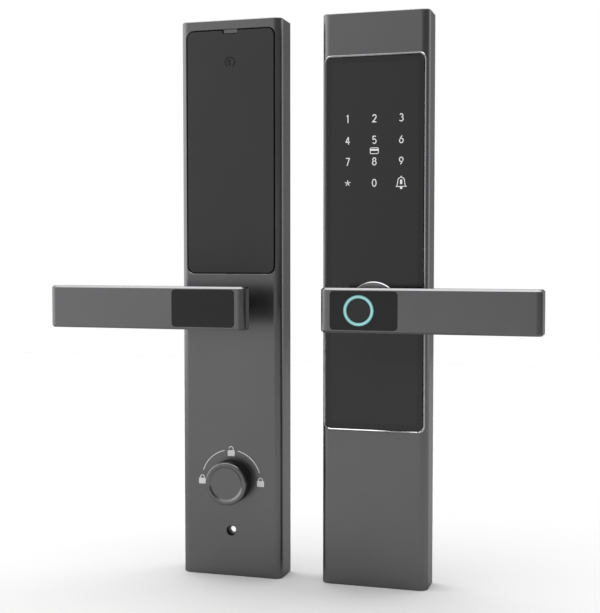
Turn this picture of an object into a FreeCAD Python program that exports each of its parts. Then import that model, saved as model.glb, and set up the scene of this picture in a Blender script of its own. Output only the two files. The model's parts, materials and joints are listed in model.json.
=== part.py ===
"""Keypad smart lock: the exterior and interior lever escutcheons, standing side by side.

Millimetres. +X is to the right, +Z is up and the decorated faces look along -Y.
The origin is on the ground, midway between the two units and midway through the depth.
Depths are given as distances in front of the door face, the plane both backs lie in.
"""
import FreeCAD, Part
import math
import os

# ---- driving dimensions -------------------------------------------------------------------
UNIT_HEIGHT = 380.0
UNIT_WIDTH = 72.0
UNIT_SPACING = 100.0
EXTERIOR_DEPTH = 21.5
INTERIOR_DEPTH = 22.0
LEVER_LENGTH = 138.0
LEVER_HEIGHT = 28.0
LEVER_THICKNESS = 12.0
LEVER_FRONT = 67.0
LEVER_Z = 187.0
THUMB_TURN_Z = 66.0
FIXING_LOW_Z = 31.5
FIXING_HIGH_Z = 351.5

# ---- places worked out from them ----------------------------------------------------------
EXTERIOR_X = UNIT_SPACING / 2
INTERIOR_X = -UNIT_SPACING / 2
DOOR_Y = LEVER_FRONT / 2
LEVER_BACK = LEVER_FRONT - LEVER_THICKNESS

# Closer than this, two places or directions count as the same.
TOUCHING = 1e-4

# How far a cutting shape runs past the part it cuts.
OVERCUT = 1.0

# Across the flats of every hexagon socket.
HEXAGON = 2.0
HEXAGON_SIDES = 6

# ---- housings -----------------------------------------------------------------------------
WALL = 2.5
FRONT_WALL = 3.0
EDGE_RADIUS = 5.5
END_CHAMFER = 0.5
CAVITY_WIDTH = UNIT_WIDTH - 2 * WALL
CAVITY_RADIUS = 2.0
PLATE_BACK = 1.5
PLATE_FRONT = 3.5
PLATE_GAP = 0.15
GASKET_WIDTH = 5.0
BOSS_X = 22.0
BOSS_WIDTH = 8.0
BOSS_HEIGHT = 10.0
BOSS_END = 12.0
BOSS_HOLE_DEPTH = 8.0
BOSS_INSET = 5.5
BOSS_Z = WALL + BOSS_INSET
SCREW_HOLE_R = 1.5
SCREW_CLEARANCE = 0.05
PLATE_SCREW_HEAD_R = 2.7
PLATE_SCREW_HEAD_BACK = 0.3
PLATE_SCREW_SOCKET = 0.7
PLATE_SCREW_REACH = 7.0
CABLE_HOLE_WIDTH = 18.0
CABLE_HOLE_HEIGHT = 10.0
CABLE_HOLE_RADIUS = 3.0
CABLE_HOLE_Z = 228.0
INTERIOR_CABLE_HOLE_Z = 150.0

# ---- lever bearing, the same in both units ---------------------------------------------------
NECK_R = 10.5
NECK_BACK = 4.2
RUNNING = 0.05
SLEEVE_R = 12.8
SLEEVE_BACK = 8.5
HUB_BOSS_R = 18.0
CLIP_BACK = 7.2
CLIP_FRONT = 8.2
CLIP_R = 13.4
CLIP_GAP = 6.0
GROOVE_DEPTH = 0.8
SPINDLE_SIDE = 8.1
SPINDLE_DEPTH = 16.0
WIRE_BORE_R = 2.0
SPIGOT_R = 8.5
SPIGOT_LENGTH = 3.0
PLATE_SPINDLE_R = 12.0
SPRING_BACK = 4.4
SPRING_FRONT = 6.9
SPRING_START_R = 11.0
SPRING_PITCH = 1.7
SPRING_STRIP = 0.8
SPRING_HALF_TURNS = 8

# ---- levers ---------------------------------------------------------------------------------
LEVER_OVERHANG = 25.0
LEVER_END_R = 4.5
LEVER_REAR_R = 2.0
LEVER_CHAMFER = 1.2
INLAY_HUB_SIDE = 18.2
INLAY_TIP_SIDE = 24.6
INLAY_HEIGHT = 24.2
INLAY_RADIUS = 2.4
INLAY_THICKNESS = 1.2
INLAY_RECESS = 0.1
INLAY_GAP = 0.2
POCKET_HALF_LENGTH = 16.0
POCKET_HEIGHT = 20.6
POCKET_FLOOR = 60.0
LEVER_SCREW_OFFSET = 6.0
LEVER_SCREW_HOLE = 8.0
LEVER_SCREW_LENGTH = 7.0
LEVER_SCREW_HEAD_R = 2.4
LEVER_SCREW_HEAD = 1.8
LEVER_SCREW_SOCKET = 1.2

# ---- fingerprint reader in the outside lever ---------------------------------------------------
SENSOR_R = 7.5
RING_INNER_R = 7.65
RING_OUTER_R = 9.7
READER_GAP = 0.2
SENSOR_BACK = 63.6
SENSOR_FRONT = 66.6
RING_FRONT = 66.9
READER_BOARD_BACK = 62.4
READER_BOARD_LENGTH = 26.0
READER_BOARD_HEIGHT = 20.0

# ---- keypad panel of the exterior unit ---------------------------------------------------------
BEZEL_WIDTH = 68.6
BEZEL_BOTTOM = 104.5
BEZEL_TOP = 352.4
BEZEL_RADIUS = 5.0
BEZEL_RIM = 1.2
BEZEL_PROUD = 1.2
BEZEL_CHAMFER = 0.4
GLASS_GAP = 0.5
GLASS_BELOW_BEZEL = 0.3
GLASS_POCKET = 2.0
COLLAR_R = 17.0
COLLAR_PROUD = 1.9
COLLAR_CHAMFER = 0.6
COLLAR_GAP = 0.4
WINDOW_WIDTH = 56.0
WINDOW_BOTTOM = 252.0
WINDOW_TOP = 334.0
WINDOW_RADIUS = 2.0
KEY_PITCH_X = 17.9
KEY_PITCH_Z = 14.0
KEY_ROW_TOP_Z = 310.6
KEY_COLUMNS = 3
KEY_ROWS = 4
KEY_WINDOW = 9.0
KEY_WINDOW_RADIUS = 1.0
GUIDE_THICKNESS = 4.0
GUIDE_GAP = 0.5
GUIDE_RADIUS = 1.5
BOARD_THICKNESS = 1.6

# ---- parts behind the exterior panel -----------------------------------------------------------
ANTENNA_WIDTH = 50.0
ANTENNA_HEIGHT = 74.0
ANTENNA_STRIP = 2.0
ANTENNA_THICKNESS = 0.3
ANTENNA_RADIUS = 3.0
ANTENNA_INNER_RADIUS = 1.5
# Chips of the touch board: left, right, height, bottom and top, from the middle of the board.
TOUCH_CHIPS = [
    (-6.0, 6.0, 1.4, -6.0, 6.0),
    (-18.0, -10.0, 1.2, 12.0, 24.0),
    (9.0, 19.0, 2.2, 10.0, 20.0),
]
HEADER_HEIGHT = 6.0
HEADER_WALL = 1.0
CABLE_HEADER_WIDTH = 16.0
EXTERIOR_HEADER_RAISE = 10.0
EXTERIOR_HEADER_DEPTH = 5.0
INTERIOR_HEADER_DEPTH = 6.0
POST_R = 4.5
POST_HOLE_R = 1.65
POST_CLEARANCE = 0.2
POST_BACK = 0.5
POST_HOLE_DEPTH = 14.0
PORT_WIDTH = 9.0
PORT_DEPTH = 3.4
PORT_HEIGHT = 7.0
PORT_RAISE = 0.5
PORT_GAP = 0.2
PORT_RADIUS = 1.4
PORT_SHELL = 0.4
PORT_MOUTH = 5.5
TONGUE_INSET = 1.3
TONGUE_THICKNESS = 0.7
TONGUE_SETBACK = 1.0
PORT_BOARD_WIDTH = 18.0
PORT_BOARD_DEPTH = 10.0
PORT_BOARD_THICKNESS = 1.2
SPEAKER_Z = 80.0
SPEAKER_R = 9.0
SPEAKER_DEPTH = 4.0
SPEAKER_CONE_R = 7.5
SPEAKER_DOME_R = 4.5
SPEAKER_CONE_DEPTH = 1.0
MOTOR_R = 5.0
MOTOR_BOTTOM = 120.0
MOTOR_TOP = 138.0
MOTOR_CENTRE = 11.0
MOTOR_FLAT = 1.0
MOTOR_SHAFT_HOLE = 3.0
CRADLE_WALL = 2.0
CRADLE_BOTTOM = MOTOR_BOTTOM + 2.0
CRADLE_TOP = MOTOR_TOP - 4.0
WORM_R = 1.5
WORM_TOP = 156.0
WORM_ENTRY = 2.5
WORM_CAP_R = 2.4
WORM_CAP = 1.0
WORM_CLEARANCE = 0.06
SLIDER_WIDTH = 12.0
SLIDER_BOTTOM = 144.0
SLIDER_TOP = 150.0
SLIDER_DEPTH = 8.0
PRONG_OFFSET = 4.0
PRONG_WIDTH = 2.4
PRONG_DEPTH = 3.0
PRONG_TOP = 164.0

# ---- battery compartment of the interior unit --------------------------------------------------
COVER_WIDTH = 61.8
COVER_BOTTOM = 209.3
COVER_TOP = 372.9
COVER_RADIUS = 4.6
COVER_THICKNESS = 2.4
COVER_GAP = 0.7
COVER_CHAMFER = 0.25
OPENING_CHAMFER = 0.5
NOTCH_HALF_WIDTH = 5.5
NOTCH_HEIGHT = 2.3
LIP_DEPTH = 1.2
TRAY_HALF_WIDTH = 33.0
TRAY_BOTTOM = 208.0
TRAY_WALL = 1.3
CELL_R = 7.1
CELL_LENGTH = 50.5
CELL_NUB_R = 2.7
CELL_NUB = 1.3
CELL_CLEARANCE = 0.2
CELL_AXIS = PLATE_FRONT + TRAY_WALL + CELL_R + CELL_CLEARANCE
CELL_PITCH = 15.2
CELL_COLUMNS = 4
CELL_ROWS = 2
ROW_PITCH = 59.0
CONTACT_SHEET = 0.4
CONTACT_SPRING_R = 3.6
CONTACT_SPRING = 4.0
CONTACT_SIDE = 9.0
DIVIDER = 2.6
SERVICE_BOARD_BOTTOM = 331.0
SERVICE_BOARD_TOP = 343.0
SERVICE_BOARD_HALF_WIDTH = 28.0
SWITCH_X = -18.0
SWITCH_SIDE = 6.5
SWITCH_BODY = 4.2
SWITCH_FLOOR = 0.4
BUTTON_R = 1.9
BUTTON_CLEARANCE = 0.1
BUTTON_LENGTH = 4.0
BUTTON_PROUD = 2.4
SOCKET_X = 16.0
SOCKET_WIDTH = 12.0
SOCKET_DEPTH = 6.0

# ---- thumb-turn of the interior unit -----------------------------------------------------------
KNOB_R = 14.7
KNOB_FRONT = 34.0
KNOB_LIFT = 0.4
KNOB_EDGE = 1.3
KNOB_DISH_OUTER_R = 12.2
KNOB_DISH_INNER_R = 10.7
KNOB_DISH_DEPTH = 1.0
KNURLS = 64
KNURL_R = 0.5
KNURL_OUTSET = 0.12
KNURL_START = 1.0
KNURL_END_GAP = 0.3
TURN_SHAFT_R = 5.0
TURN_SHAFT_BACK = 4.5
TURN_GROOVE = 0.6
TURN_BUSH_R = 8.0
TURN_BUSH_BACK = 10.0
TURN_FLANGE_R = 10.5
TURN_FLANGE = 1.0
TURN_BOSS_R = 12.0
TURN_WASHER_R = 9.0
TURN_WASHER_BORE_R = 5.3
TURN_WASHER_GAP = 0.2
TURN_CLIP_BACK = 7.0
TURN_CLIP_FRONT = 8.0
TURN_CLIP_R = 7.6
TURN_CLIP_GAP = 3.5
TAILPIECE_WIDTH = 8.2
TAILPIECE_THICKNESS = 2.6
TAILPIECE_DEPTH = 10.0
TAILPIECE_HOLE_R = 8.0

# ---- other interior parts ----------------------------------------------------------------------
FIXING_HOLE_R = 2.15
FIXING_COUNTERBORE_R = 3.75
FIXING_COUNTERBORE = 3.5
FIXING_BOSS_R = 6.5
FIXING_BOSS_BACK = 16.0
PLATE_FIXING_R = 9.0
BOARD_BOTTOM = 86.0
BOARD_TOP = 162.0
BOARD_HALF_WIDTH = 28.0
BOARD_FRONT = 14.0
STANDOFF_R = 3.0
STANDOFF_INSET = 4.0
BUZZER_X = INTERIOR_X - 16.0
BUZZER_Z = 100.0
BUZZER_R = 6.0
BUZZER_DEPTH = 6.0
BUZZER_SOUND_R = 1.2
BUZZER_SOUND_DEPTH = 2.0
INTERIOR_HEADER_X = INTERIOR_X + 12.0
INTERIOR_HEADER_Z = 99.0
# Chips of the control board: left and right from the unit's middle, height, bottom and top.
CONTROL_CHIPS = [
    (-7.0, 7.0, 1.4, 112.0, 126.0),
    (12.0, 22.0, 1.2, 118.0, 126.0),
    (-24.0, -12.0, 2.4, 132.0, 150.0),
]
CAPACITOR_X = INTERIOR_X + 18.0
CAPACITOR_Z = 140.0
CAPACITOR_R = 4.0
CAPACITOR_HEIGHT = 6.0
INSIDE_COLLAR_PROUD = 0.6


# ---- building blocks ---------------------------------------------------------------------------
def block(x_low, x_high, back, front, z_low, z_high):
    """Box between two distances in front of the door."""
    corner = FreeCAD.Vector(x_low, DOOR_Y - front, z_low)
    return Part.makeBox(x_high - x_low, front - back, z_high - z_low, corner)


def rod(x, z, radius, back, front):
    """Cylinder square to the door."""
    base = FreeCAD.Vector(x, DOOR_Y - back, z)
    return Part.makeCylinder(radius, front - back, base, FreeCAD.Vector(0, -1, 0))


def tube(x, z, inner, outer, back, front):
    """Ring or sleeve square to the door."""
    return rod(x, z, outer, back, front).cut(rod(x, z, inner, back, front))


def post(x, distance, radius, z_low, z_high):
    """Upright cylinder."""
    base = FreeCAD.Vector(x, DOOR_Y - distance, z_low)
    return Part.makeCylinder(radius, z_high - z_low, base, FreeCAD.Vector(0, 0, 1))


def edges_along(shape, direction):
    """Straight edges that run along a direction."""
    found = []
    for edge in shape.Edges:
        if isinstance(edge.Curve, Part.Line) and abs(edge.Curve.Direction.dot(direction)) > 1 - TOUCHING:
            found.append(edge)
    return found


def edges_at_distance(shape, distance):
    """Edges that lie wholly in the plane at one distance in front of the door."""
    level = DOOR_Y - distance
    found = []
    for edge in shape.Edges:
        box = edge.BoundBox
        if max(abs(box.YMin - level), abs(box.YMax - level)) < TOUCHING:
            found.append(edge)
    return found


def edges_at_height(shape, z):
    """Edges that lie wholly in one level plane."""
    found = []
    for edge in shape.Edges:
        box = edge.BoundBox
        if max(abs(box.ZMin - z), abs(box.ZMax - z)) < TOUCHING:
            found.append(edge)
    return found


def slab(x, z_low, z_high, width, radius, back, front):
    """Plate parallel to the door, with rounded corners."""
    plate = block(x - width / 2, x + width / 2, back, front, z_low, z_high)
    return plate.makeFillet(radius, edges_along(plate, FreeCAD.Vector(0, 1, 0)))


def hexagon_hole(x, z, back, front):
    """Prism of a hexagon socket."""
    corner_r = HEXAGON / math.sqrt(3)
    corners = []
    for corner in range(HEXAGON_SIDES + 1):
        angle = 2 * math.pi * corner / HEXAGON_SIDES
        across = corner_r * math.cos(angle)
        up = corner_r * math.sin(angle)
        corners.append(FreeCAD.Vector(x + across, DOOR_Y - back, z + up))
    face = Part.Face(Part.makePolygon(corners))
    return face.extrude(FreeCAD.Vector(0, back - front, 0))


def split_ring(x, z, inner, outer, back, front, gap):
    """Circlip: a flat ring with a gap at the bottom."""
    ring = tube(x, z, inner, outer, back, front)
    return ring.cut(block(x - gap / 2, x + gap / 2, back, front, z - outer, z))


def header(x, z, width, seat, mouth):
    """Plug socket that stands on a board at one distance and opens at another."""
    floor = seat + math.copysign(HEADER_WALL, mouth - seat)
    half = width / 2
    rise = HEADER_HEIGHT / 2
    body = block(x - half, x + half, min(seat, mouth), max(seat, mouth), z - rise, z + rise)
    half -= HEADER_WALL
    rise -= HEADER_WALL
    return body.cut(block(x - half, x + half, min(floor, mouth), max(floor, mouth), z - rise, z + rise))


def chips(x, z, seat, places):
    """Chips on the door side of a board, from a list of their places and heights."""
    return [block(x + left, x + right, seat - height, seat, z + low, z + high)
            for left, right, height, low, high in places]


def clock_spring(x, z):
    """Flat spiral return spring, made of half-turn arcs about two centres."""
    step = SPRING_PITCH / 2
    level = DOOR_Y - SPRING_BACK

    def boundary(offset):
        points = []
        arcs = []
        for turn in range(SPRING_HALF_TURNS):
            centre = x + (step if turn % 2 else 0)
            side = 1 if turn % 2 == 0 else -1
            radius = SPRING_START_R + offset + step * turn
            start = FreeCAD.Vector(centre + side * radius, level, z)
            middle = FreeCAD.Vector(centre, level, z + side * radius)
            end = FreeCAD.Vector(centre - side * radius, level, z)
            arcs.append(Part.Arc(start, middle, end).toShape())
            points.extend([start, end])
        return arcs, points[0], points[-1]

    inner, inner_start, inner_end = boundary(0)
    outer, outer_start, outer_end = boundary(SPRING_STRIP)
    first = Part.makeLine(outer_start, inner_start)
    last = Part.makeLine(inner_end, outer_end)
    wire = Part.Wire(Part.__sortEdges__(inner + outer + [first, last]))
    return Part.Face(wire).extrude(FreeCAD.Vector(0, SPRING_BACK - SPRING_FRONT, 0))


# ---- parts that both units have ----------------------------------------------------------------
def corner_boss(x, low):
    """Screw boss on an end wall, with its blind hole."""
    z = BOSS_Z if low else UNIT_HEIGHT - BOSS_Z
    z_low = WALL if low else UNIT_HEIGHT - WALL - BOSS_HEIGHT
    half = BOSS_WIDTH / 2
    boss = block(x - half, x + half, PLATE_FRONT, BOSS_END, z_low, z_low + BOSS_HEIGHT)
    return boss.cut(rod(x, z, SCREW_HOLE_R, PLATE_FRONT, PLATE_FRONT + BOSS_HOLE_DEPTH))


def housing_shell(x, depth):
    """Open-backed shell with rounded front edges, corner bosses and the lever's bearing boss."""
    body = block(x - UNIT_WIDTH / 2, x + UNIT_WIDTH / 2, 0, depth, 0, UNIT_HEIGHT)
    uprights = edges_along(body, FreeCAD.Vector(0, 0, 1))
    front_uprights = [edge for edge in uprights if edge.CenterOfMass.y < DOOR_Y - depth / 2]
    body = body.makeFillet(EDGE_RADIUS, front_uprights)
    rim = edges_at_height(body, 0) + edges_at_height(body, UNIT_HEIGHT)
    door_rim = edges_at_distance(body, 0)
    rim = [edge for edge in rim if not any(edge.isSame(other) for other in door_rim)]
    body = body.makeChamfer(END_CHAMFER, rim)
    inside = depth - FRONT_WALL
    cavity = slab(x, WALL, UNIT_HEIGHT - WALL, CAVITY_WIDTH, CAVITY_RADIUS, 0, inside)
    body = body.cut(cavity)
    for low in (True, False):
        for side in (-1, 1):
            body = body.fuse(corner_boss(x + side * BOSS_X, low))
    body = body.fuse(rod(x, LEVER_Z, HUB_BOSS_R, SLEEVE_BACK, inside))
    return body.cut(rod(x, LEVER_Z, SLEEVE_R, SLEEVE_BACK, depth))


def back_plate(x, holes):
    """Steel plate inside the rear rim, with the screw holes and the given openings cut out."""
    plate = slab(x, WALL + PLATE_GAP, UNIT_HEIGHT - WALL - PLATE_GAP, CAVITY_WIDTH - 2 * PLATE_GAP,
                 CAVITY_RADIUS, PLATE_BACK, PLATE_FRONT)
    cutters = list(holes)
    for z in (BOSS_Z, UNIT_HEIGHT - BOSS_Z):
        for side in (-1, 1):
            cutters.append(rod(x + side * BOSS_X, z, SCREW_HOLE_R + SCREW_CLEARANCE, PLATE_BACK, PLATE_FRONT))
    cutters.append(rod(x, LEVER_Z, PLATE_SPINDLE_R, PLATE_BACK, PLATE_FRONT))
    return plate.cut(Part.makeCompound(cutters))


def cable_hole(x, z):
    """Slot in a back plate for the cable that runs through the door."""
    return slab(x, z - CABLE_HOLE_HEIGHT / 2, z + CABLE_HOLE_HEIGHT / 2, CABLE_HOLE_WIDTH, CABLE_HOLE_RADIUS,
                PLATE_BACK, PLATE_FRONT)


def gasket(x):
    """Rubber seal round the edge of a back plate, flush with the housing's rear rim."""
    outer_width = CAVITY_WIDTH - 2 * PLATE_GAP
    low = WALL + PLATE_GAP
    high = UNIT_HEIGHT - WALL - PLATE_GAP
    outer = slab(x, low, high, outer_width, CAVITY_RADIUS, 0, PLATE_BACK)
    inner = slab(x, low + GASKET_WIDTH / 2, high - GASKET_WIDTH / 2, outer_width - 2 * GASKET_WIDTH,
                 CAVITY_RADIUS, 0, PLATE_BACK)
    return outer.cut(inner)


def plate_screws(x):
    """Four pan-head screws that hold a back plate to the corner bosses."""
    screws = []
    for z in (BOSS_Z, UNIT_HEIGHT - BOSS_Z):
        for side in (-1, 1):
            place = x + side * BOSS_X
            head = rod(place, z, PLATE_SCREW_HEAD_R, PLATE_SCREW_HEAD_BACK, PLATE_BACK)
            shank_r = SCREW_HOLE_R - SCREW_CLEARANCE
            shank = rod(place, z, shank_r, PLATE_BACK, PLATE_FRONT + PLATE_SCREW_REACH)
            socket = hexagon_hole(place, z, PLATE_SCREW_HEAD_BACK, PLATE_SCREW_HEAD_BACK + PLATE_SCREW_SOCKET)
            screws.append(head.fuse(shank).cut(socket))
    return Part.makeCompound(screws)


def lever(x, side):
    """Lever bar that points to one side, with the recess for its inlay and the neck's spigot."""
    hub_end = x - side * LEVER_OVERHANG
    tip = hub_end + side * LEVER_LENGTH
    low = LEVER_Z - LEVER_HEIGHT / 2
    high = LEVER_Z + LEVER_HEIGHT / 2
    bar = block(min(hub_end, tip), max(hub_end, tip), LEVER_BACK, LEVER_FRONT, low, high)
    middle = DOOR_Y - (LEVER_BACK + LEVER_FRONT) / 2
    uprights = edges_along(bar, FreeCAD.Vector(0, 0, 1))
    bar = bar.makeFillet(LEVER_END_R, [edge for edge in uprights if edge.CenterOfMass.y < middle])
    uprights = edges_along(bar, FreeCAD.Vector(0, 0, 1))
    rear = [edge for edge in uprights if abs(edge.CenterOfMass.y - (DOOR_Y - LEVER_BACK)) < TOUCHING]
    bar = bar.makeFillet(LEVER_REAR_R, rear)
    bar = bar.makeChamfer(LEVER_CHAMFER, edges_at_height(bar, low) + edges_at_height(bar, high))
    inlay_floor = LEVER_FRONT - INLAY_RECESS - INLAY_THICKNESS
    bar = bar.cut(inlay_slab(x, side, INLAY_GAP, inlay_floor, LEVER_FRONT))
    bar = bar.cut(block(x - POCKET_HALF_LENGTH, x + POCKET_HALF_LENGTH, POCKET_FLOOR, inlay_floor,
                        LEVER_Z - POCKET_HEIGHT / 2, LEVER_Z + POCKET_HEIGHT / 2))
    bar = bar.cut(rod(x, LEVER_Z, SPIGOT_R + RUNNING, LEVER_BACK, LEVER_BACK + SPIGOT_LENGTH))
    bar = bar.cut(rod(x, LEVER_Z, WIRE_BORE_R, LEVER_BACK, POCKET_FLOOR))
    for offset in (-LEVER_SCREW_OFFSET, LEVER_SCREW_OFFSET):
        bar = bar.cut(rod(x, LEVER_Z + offset, SCREW_HOLE_R, LEVER_BACK, POCKET_FLOOR))
    return bar


def inlay_slab(x, side, grow, back, front):
    """Outline of a lever's inlay, grown all round by a gap."""
    hub_edge = x - side * (INLAY_HUB_SIDE + grow)
    tip_edge = x + side * (INLAY_TIP_SIDE + grow)
    height = INLAY_HEIGHT + 2 * grow
    return slab((hub_edge + tip_edge) / 2, LEVER_Z - height / 2, LEVER_Z + height / 2,
                abs(tip_edge - hub_edge), INLAY_RADIUS + grow, back, front)


def lever_inlay(x, side):
    """Black plate let into the face of a lever."""
    front = LEVER_FRONT - INLAY_RECESS
    return inlay_slab(x, side, 0, front - INLAY_THICKNESS, front)


def lever_neck(x):
    """Turned shaft behind a lever, with the circlip groove, spindle socket and screw holes."""
    neck = rod(x, LEVER_Z, NECK_R, NECK_BACK, LEVER_BACK)
    neck = neck.fuse(rod(x, LEVER_Z, SPIGOT_R, LEVER_BACK, LEVER_BACK + SPIGOT_LENGTH))
    neck = neck.cut(tube(x, LEVER_Z, NECK_R - GROOVE_DEPTH, NECK_R + OVERCUT,
                         CLIP_BACK - RUNNING, CLIP_FRONT + RUNNING))
    half = SPINDLE_SIDE / 2
    neck = neck.cut(block(x - half, x + half, NECK_BACK, NECK_BACK + SPINDLE_DEPTH,
                          LEVER_Z - half, LEVER_Z + half))
    neck = neck.cut(rod(x, LEVER_Z, WIRE_BORE_R, NECK_BACK, LEVER_BACK + SPIGOT_LENGTH))
    for offset in (-LEVER_SCREW_OFFSET, LEVER_SCREW_OFFSET):
        neck = neck.cut(rod(x, LEVER_Z + offset, SCREW_HOLE_R, LEVER_BACK - LEVER_SCREW_HOLE,
                            LEVER_BACK + SPIGOT_LENGTH))
    return neck


def lever_screws(x):
    """Two screws in the floor of the lever's pocket that hold it to the neck."""
    screws = []
    for offset in (-LEVER_SCREW_OFFSET, LEVER_SCREW_OFFSET):
        z = LEVER_Z + offset
        shank = rod(x, z, SCREW_HOLE_R - SCREW_CLEARANCE, LEVER_BACK - LEVER_SCREW_LENGTH, POCKET_FLOOR)
        head = rod(x, z, LEVER_SCREW_HEAD_R, POCKET_FLOOR, POCKET_FLOOR + LEVER_SCREW_HEAD)
        top = POCKET_FLOOR + LEVER_SCREW_HEAD
        socket = hexagon_hole(x, z, top - LEVER_SCREW_SOCKET, top)
        screws.append(shank.fuse(head).cut(socket))
    return Part.makeCompound(screws)


def lever_clip(x):
    """Circlip that keeps a lever's neck in its bearing."""
    return split_ring(x, LEVER_Z, NECK_R - GROOVE_DEPTH + RUNNING, CLIP_R, CLIP_BACK, CLIP_FRONT, CLIP_GAP)


# ---- exterior unit -----------------------------------------------------------------------------
def exterior_housing():
    """Shell with the glass pocket, the electronics window and the socket slot in its foot."""
    x = EXTERIOR_X
    shell = housing_shell(x, EXTERIOR_DEPTH)
    pocket_floor = EXTERIOR_DEPTH - GLASS_POCKET
    pocket = slab(x, BEZEL_BOTTOM + BEZEL_RIM, BEZEL_TOP - BEZEL_RIM, BEZEL_WIDTH - 2 * BEZEL_RIM,
                  BEZEL_RADIUS - BEZEL_RIM, pocket_floor, EXTERIOR_DEPTH)
    window = slab(x, WINDOW_BOTTOM, WINDOW_TOP, WINDOW_WIDTH, WINDOW_RADIUS, 0, EXTERIOR_DEPTH)
    half = PORT_WIDTH / 2 + PORT_GAP
    reach = PORT_DEPTH / 2 + PORT_GAP
    slot = block(x - half, x + half, MOTOR_CENTRE - reach, MOTOR_CENTRE + reach, 0, WALL)
    return shell.cut(Part.makeCompound([pocket, slot])).cut(window)


def keypad_bezel():
    """Thin metal frame round the glass, bevelled along its outer and inner edges."""
    top = EXTERIOR_DEPTH + BEZEL_PROUD
    outer = slab(EXTERIOR_X, BEZEL_BOTTOM, BEZEL_TOP, BEZEL_WIDTH, BEZEL_RADIUS, EXTERIOR_DEPTH, top)
    inner = slab(EXTERIOR_X, BEZEL_BOTTOM + BEZEL_RIM, BEZEL_TOP - BEZEL_RIM, BEZEL_WIDTH - 2 * BEZEL_RIM,
                 BEZEL_RADIUS - BEZEL_RIM, EXTERIOR_DEPTH, top)
    frame = outer.cut(inner)
    return frame.makeChamfer(BEZEL_CHAMFER, edges_at_distance(frame, top))


def touch_glass():
    """Glass that fills the bezel, with a round hole for the lever's collar."""
    inset = BEZEL_RIM + GLASS_GAP
    front = EXTERIOR_DEPTH + BEZEL_PROUD - GLASS_BELOW_BEZEL
    pane = slab(EXTERIOR_X, BEZEL_BOTTOM + inset, BEZEL_TOP - inset, BEZEL_WIDTH - 2 * inset,
                BEZEL_RADIUS - inset, EXTERIOR_DEPTH - GLASS_POCKET, front)
    return pane.cut(rod(EXTERIOR_X, LEVER_Z, COLLAR_R + COLLAR_GAP, EXTERIOR_DEPTH - GLASS_POCKET, front))


def outside_collar():
    """Polished collar with the bearing sleeve of the outside lever."""
    x = EXTERIOR_X
    seat = EXTERIOR_DEPTH - GLASS_POCKET
    front = EXTERIOR_DEPTH + BEZEL_PROUD - GLASS_BELOW_BEZEL + COLLAR_PROUD
    flange = rod(x, LEVER_Z, COLLAR_R, seat, front)
    flange = flange.makeChamfer(COLLAR_CHAMFER, edges_at_distance(flange, front))
    sleeve = rod(x, LEVER_Z, SLEEVE_R, SLEEVE_BACK, seat)
    return flange.fuse(sleeve).cut(rod(x, LEVER_Z, NECK_R + RUNNING, SLEEVE_BACK, front))


def key_light_guide():
    """Diffuser behind the glass, with a window for each key's light."""
    x = EXTERIOR_X
    front = EXTERIOR_DEPTH - GLASS_POCKET
    guide = slab(x, WINDOW_BOTTOM + GUIDE_GAP, WINDOW_TOP - GUIDE_GAP, WINDOW_WIDTH - 2 * GUIDE_GAP,
                 GUIDE_RADIUS, front - GUIDE_THICKNESS, front)
    windows = []
    for column in range(KEY_COLUMNS):
        for row in range(KEY_ROWS):
            key_x = x + KEY_PITCH_X * (column - (KEY_COLUMNS - 1) / 2)
            key_z = KEY_ROW_TOP_Z - KEY_PITCH_Z * row
            windows.append(slab(key_x, key_z - KEY_WINDOW / 2, key_z + KEY_WINDOW / 2, KEY_WINDOW,
                                KEY_WINDOW_RADIUS, front - GUIDE_THICKNESS, front))
    return guide.cut(Part.makeCompound(windows))


def touch_board():
    """Keypad circuit board behind the diffuser."""
    front = EXTERIOR_DEPTH - GLASS_POCKET - GUIDE_THICKNESS
    return slab(EXTERIOR_X, WINDOW_BOTTOM + GUIDE_GAP, WINDOW_TOP - GUIDE_GAP,
                WINDOW_WIDTH - 2 * GUIDE_GAP, GUIDE_RADIUS, front - BOARD_THICKNESS, front)


def card_antenna():
    """Copper loop of the card reader, on the back of the touch board."""
    x = EXTERIOR_X
    front = EXTERIOR_DEPTH - GLASS_POCKET - GUIDE_THICKNESS - BOARD_THICKNESS
    middle = (WINDOW_BOTTOM + WINDOW_TOP) / 2
    outer = slab(x, middle - ANTENNA_HEIGHT / 2, middle + ANTENNA_HEIGHT / 2, ANTENNA_WIDTH,
                 ANTENNA_RADIUS, front - ANTENNA_THICKNESS, front)
    inner = slab(x, middle - ANTENNA_HEIGHT / 2 + ANTENNA_STRIP, middle + ANTENNA_HEIGHT / 2 - ANTENNA_STRIP,
                 ANTENNA_WIDTH - 2 * ANTENNA_STRIP, ANTENNA_INNER_RADIUS, front - ANTENNA_THICKNESS, front)
    return outer.cut(inner)


def touch_board_chips():
    """Controller, driver and power chips on the back of the touch board."""
    seat = EXTERIOR_DEPTH - GLASS_POCKET - GUIDE_THICKNESS - BOARD_THICKNESS
    return Part.makeCompound(chips(EXTERIOR_X, (WINDOW_BOTTOM + WINDOW_TOP) / 2, seat, TOUCH_CHIPS))


def exterior_cable_socket():
    """Socket on the touch board for the cable through the door."""
    seat = EXTERIOR_DEPTH - GLASS_POCKET - GUIDE_THICKNESS - BOARD_THICKNESS
    return header(EXTERIOR_X, WINDOW_BOTTOM + EXTERIOR_HEADER_RAISE, CABLE_HEADER_WIDTH, seat,
                  seat - EXTERIOR_HEADER_DEPTH)


def speaker():
    """Small loudspeaker for voice prompts and key tones."""
    inside = EXTERIOR_DEPTH - FRONT_WALL
    back = inside - SPEAKER_DEPTH
    body = rod(EXTERIOR_X, SPEAKER_Z, SPEAKER_R, back, inside)
    return body.cut(tube(EXTERIOR_X, SPEAKER_Z, SPEAKER_DOME_R, SPEAKER_CONE_R, back,
                         back + SPEAKER_CONE_DEPTH))


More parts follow.
